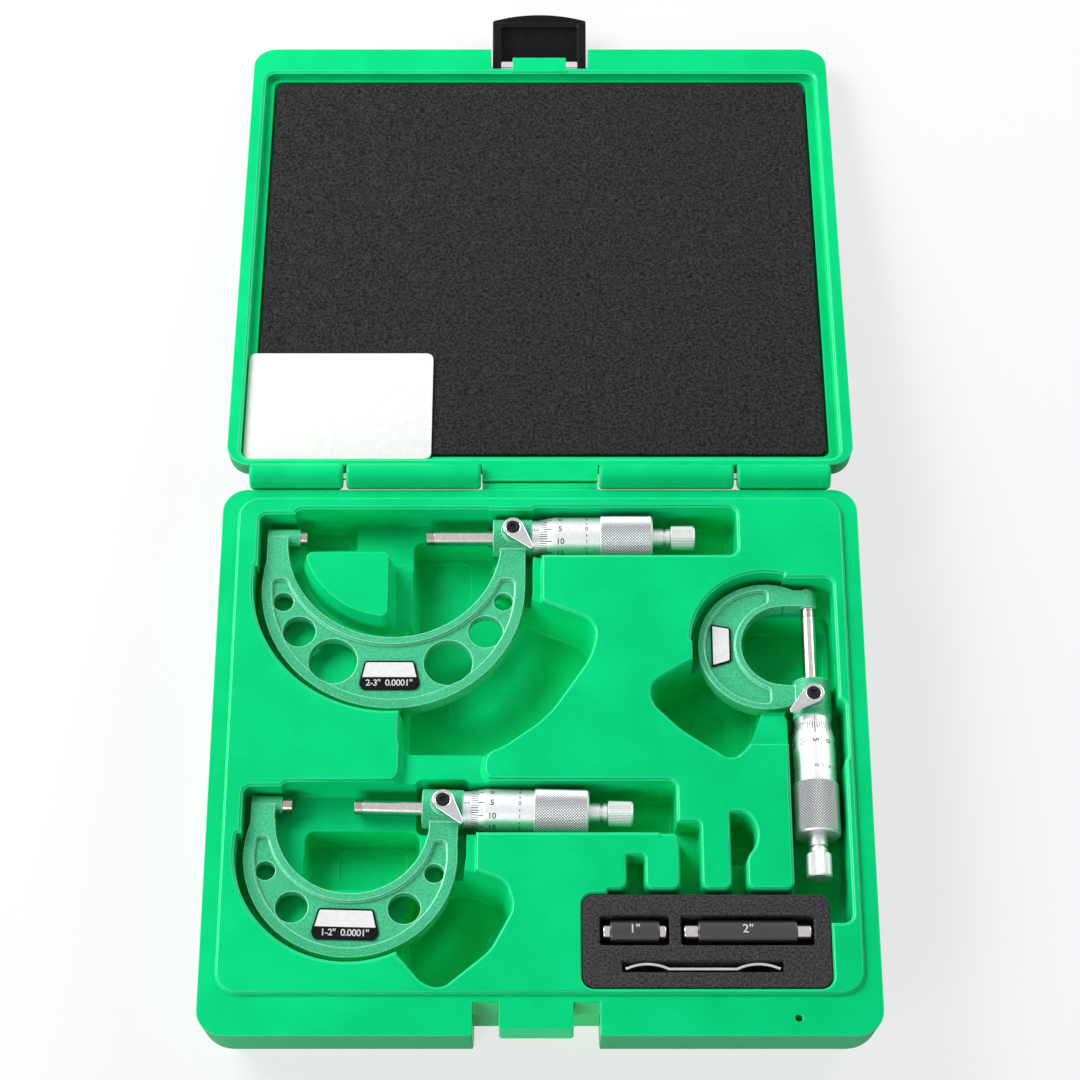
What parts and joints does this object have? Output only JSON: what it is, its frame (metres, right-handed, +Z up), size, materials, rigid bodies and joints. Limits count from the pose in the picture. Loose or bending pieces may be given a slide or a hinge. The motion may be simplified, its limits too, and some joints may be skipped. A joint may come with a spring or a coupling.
{
  "type": "micrometer case",
  "caption": "Hinged, latched plastic case with moulded pockets for outside micrometers, and foam that holds setting standards and a spanner.",
  "frame": {"origin": "centre of the base's underside, on the table", "axes": "+X to the right along the hinge, +Y from the latch side towards the hinge, +Z up"},
  "size_m": [0.27, 0.5117, 0.0466],
  "materials": {
    "case_green": "satin moulded",
    "latch_black": "satin",
    "foam_charcoal": "open-cell foam",
    "card_white": "matt",
    "frame_green": "hammertone enamel",
    "satin_chrome": "satin chrome",
    "ground_steel": "ground",
    "carbide": "lapped",
    "black_steel": "blackened",
    "plate_enamel": "enamelled"
  },
  "bodies": {
    "case": {"base_shell": "case_green", "hinge_pins": "ground_steel", "insert_foam": "foam_charcoal"},
    "lid": {"lid_shell": "case_green", "lid_foam": "foam_charcoal", "latch_pin": "ground_steel"},
    "latch": {"latch": "latch_black"},
    "card": {"card": "card_white"},
    "short_standard": {"short_standard_rod": "ground_steel", "short_standard_sleeve": "latch_black"},
    "long_standard": {"long_standard_rod": "ground_steel", "long_standard_sleeve": "latch_black"},
    "spanner": {"spanner": "satin_chrome"},
    "large_micrometer": {"large_frame": "frame_green", "large_anvil": "carbide", "large_bush": "ground_steel", "large_sleeve": "satin_chrome", "large_adjusting_nut": "ground_steel", "large_lock_screw": "black_steel", "large_name_plate": "plate_enamel"},
    "large_spindle_body": {"large_spindle": "ground_steel", "large_spindle_tip": "carbide"},
    "large_thimble_body": {"large_thimble": "satin_chrome", "large_ratchet_stem": "satin_chrome"},
    "large_ratchet": {"large_ratchet_knob": "satin_chrome", "large_ratchet_spring": "ground_steel"},
    "large_lever": {"large_lock_lever": "satin_chrome"},
    "medium_micrometer": {"medium_frame": "frame_green", "medium_anvil": "carbide", "medium_bush": "ground_steel", "medium_sleeve": "satin_chrome", "medium_adjusting_nut": "ground_steel", "medium_lock_screw": "black_steel", "medium_name_plate": "plate_enamel"},
    "medium_spindle_body": {"medium_spindle": "ground_steel", "medium_spindle_tip": "carbide"},
    "medium_thimble_body": {"medium_thimble": "satin_chrome", "medium_ratchet_stem": "satin_chrome"},
    "medium_ratchet": {"medium_ratchet_knob": "satin_chrome", "medium_ratchet_spring": "ground_steel"},
    "medium_lever": {"medium_lock_lever": "satin_chrome"},
    "small_micrometer": {"small_frame": "frame_green", "small_anvil": "carbide", "small_bush": "ground_steel", "small_sleeve": "satin_chrome", "small_adjusting_nut": "ground_steel", "small_lock_screw": "black_steel", "small_name_plate": "plate_enamel"},
    "small_spindle_body": {"small_spindle": "ground_steel", "small_spindle_tip": "carbide"},
    "small_thimble_body": {"small_thimble": "satin_chrome", "small_ratchet_stem": "satin_chrome"},
    "small_ratchet": {"small_ratchet_knob": "satin_chrome", "small_ratchet_spring": "ground_steel"},
    "small_lever": {"small_lock_lever": "satin_chrome"}
  },
  "joints": [
    {"name": "lid_hinge", "type": "hinge", "parent": "case", "child": "lid", "pos_m": [0, 0.1268, 0.0405], "axis": [1, 0, 0], "range_deg": [0, 186.89]},
    {"name": "latch_hinge", "type": "hinge", "parent": "lid", "child": "latch", "pos_m": [0, 0.36469, 0.00445], "axis": [1, 0, 0], "range_deg": [0, 54]},
    {"name": "card_lift", "type": "slide", "parent": "lid", "child": "card", "axis": [0, -0.12, -0.9928], "range_m": [-0.012, 0]},
    {"name": "short_standard_lift", "type": "slide", "parent": "case", "child": "short_standard", "axis": [0, 0, -1], "range_m": [-0.016, 0]},
    {"name": "long_standard_lift", "type": "slide", "parent": "case", "child": "long_standard", "axis": [0, 0, -1], "range_m": [-0.016, 0]},
    {"name": "spanner_lift", "type": "slide", "parent": "case", "child": "spanner", "axis": [0, 0, -1], "range_m": [-0.012, 0]},
    {"name": "large_micrometer_lift", "type": "slide", "parent": "case", "child": "large_micrometer", "axis": [0, 0, -1], "range_m": [-0.022, 0]},
    {"name": "large_spindle_slide", "type": "slide", "parent": "large_micrometer", "child": "large_spindle_body", "axis": [1, 0, 0], "range_m": [0, 0.016]},
    {"name": "large_thimble_turn", "type": "hinge", "parent": "large_spindle_body", "child": "large_thimble_body", "pos_m": [-0.099, 0.1012, 0.0325], "axis": [1, 0, 0], "range_deg": [0, 9071.37]},
    {"name": "large_ratchet_turn", "type": "hinge", "parent": "large_thimble_body", "child": "large_ratchet", "pos_m": [-0.099, 0.1012, 0.0325], "axis": [1, 0, 0], "continuous": true},
    {"name": "large_lever_turn", "type": "hinge", "parent": "large_micrometer", "child": "large_lever", "pos_m": [-0.0114, 0.1012, 0.0407], "axis": [0, 0, 1], "range_deg": [0, 30]},
    {"name": "medium_micrometer_lift", "type": "slide", "parent": "case", "child": "medium_micrometer", "axis": [0, 0, -1], "range_m": [-0.022, 0]},
    {"name": "medium_spindle_slide", "type": "slide", "parent": "medium_micrometer", "child": "medium_spindle_body", "axis": [0.9996, -0.0277, 0], "range_m": [0, 0.016]},
    {"name": "medium_thimble_turn", "type": "hinge", "parent": "medium_spindle_body", "child": "medium_thimble_body", "pos_m": [-0.1009, -0.02096, 0.0325], "axis": [0.9996, -0.0277, 0], "range_deg": [0, 9071.37]},
    {"name": "medium_ratchet_turn", "type": "hinge", "parent": "medium_thimble_body", "child": "medium_ratchet", "pos_m": [-0.1009, -0.02096, 0.0325], "axis": [0.9996, -0.0277, 0], "continuous": true},
    {"name": "medium_lever_turn", "type": "hinge", "parent": "medium_micrometer", "child": "medium_lever", "pos_m": [-0.03932, -0.02267, 0.0407], "axis": [0, 0, 1], "range_deg": [0, 30]},
    {"name": "small_micrometer_lift", "type": "slide", "parent": "case", "child": "small_micrometer", "axis": [0, 0, -1], "range_m": [-0.022, 0]},
    {"name": "small_spindle_slide", "type": "slide", "parent": "small_micrometer", "child": "small_spindle_body", "axis": [0, -1, 0], "range_m": [0, 0.0095]},
    {"name": "small_thimble_turn", "type": "hinge", "parent": "small_spindle_body", "child": "small_thimble_body", "pos_m": [0.1128, 0.0661, 0.0325], "axis": [0, -1, 0], "range_deg": [0, 5386.33]},
    {"name": "small_ratchet_turn", "type": "hinge", "parent": "small_thimble_body", "child": "small_ratchet", "pos_m": [0.1128, 0.0661, 0.0325], "axis": [0, -1, 0], "continuous": true},
    {"name": "small_lever_turn", "type": "hinge", "parent": "small_micrometer", "child": "small_lever", "pos_m": [0.1128, 0.0245, 0.0407], "axis": [0, 0, 1], "range_deg": [0, 30]}
  ],
  "couplings": [
    {"joint": "large_thimble_turn", "follows": "large_spindle_slide", "rad_per_m": 9894.8},
    {"joint": "medium_thimble_turn", "follows": "medium_spindle_slide", "rad_per_m": 9894.8},
    {"joint": "small_thimble_turn", "follows": "small_spindle_slide", "rad_per_m": 9894.8}
  ]
}
